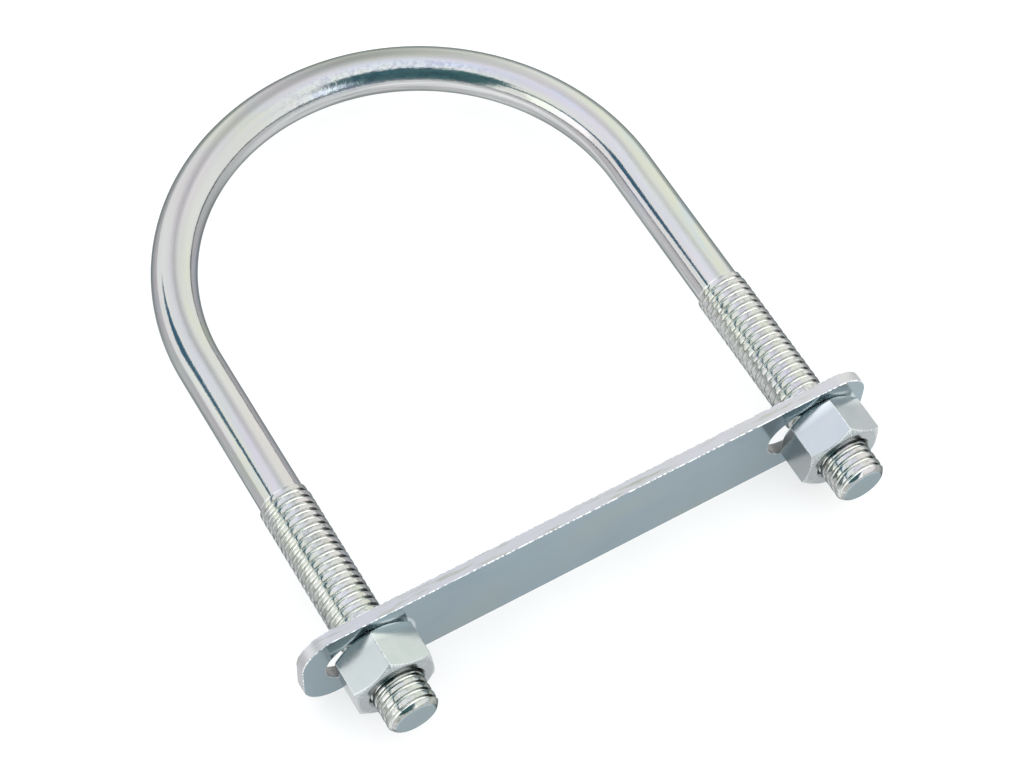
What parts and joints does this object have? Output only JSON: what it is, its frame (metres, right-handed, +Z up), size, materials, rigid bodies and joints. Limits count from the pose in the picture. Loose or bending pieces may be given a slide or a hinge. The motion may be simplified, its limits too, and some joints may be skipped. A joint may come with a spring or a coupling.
{
  "type": "u-bolt with slotted plate",
  "caption": "Round-bend U-bolt of zinc-plated bar with threaded legs, a slotted cross plate and hex nuts that clamp it round a tube or post.",
  "frame": {"origin": "centre of the bend, on the axis of the tube that the U-bolt holds", "axes": "+Y from the plate towards the top of the bend, +X across the legs from the left one to the right one, +Z up along the axis of the tube, square to the plane of the U"},
  "size_m": [0.148, 0.1671, 0.0254],
  "materials": {
    "rod_zinc": "bright zinc plating, smooth with faint iridescence",
    "plate_zinc": "satin blue-grey zinc plating with sheared edges",
    "nut_zinc": "satin light zinc plating"
  },
  "bodies": {
    "u_bolt": {"u_bolt": "rod_zinc"},
    "plate": {"plate": "plate_zinc"},
    "nut_left": {"nut_left": "nut_zinc"},
    "nut_right": {"nut_right": "nut_zinc"}
  },
  "joints": [
    {"name": "plate_slide", "type": "slide", "parent": "u_bolt", "child": "plate", "axis": [0, 1, 0], "range_m": [-0.01954, 0.03908]},
    {"name": "nut_left_spin", "type": "hinge", "parent": "plate", "child": "nut_left", "pos_m": [-0.0589, -0.083, 0], "axis": [0, 1, 0], "range_deg": [-3601, 7201]},
    {"name": "nut_right_spin", "type": "hinge", "parent": "plate", "child": "nut_right", "pos_m": [0.0589, -0.083, 0], "axis": [0, 1, 0], "range_deg": [-3601, 7201]}
  ],
  "couplings": [
    {"joint": "nut_left_spin", "follows": "plate_slide", "rad_per_m": 3215.6},
    {"joint": "nut_right_spin", "follows": "plate_slide", "rad_per_m": 3215.6}
  ]
}
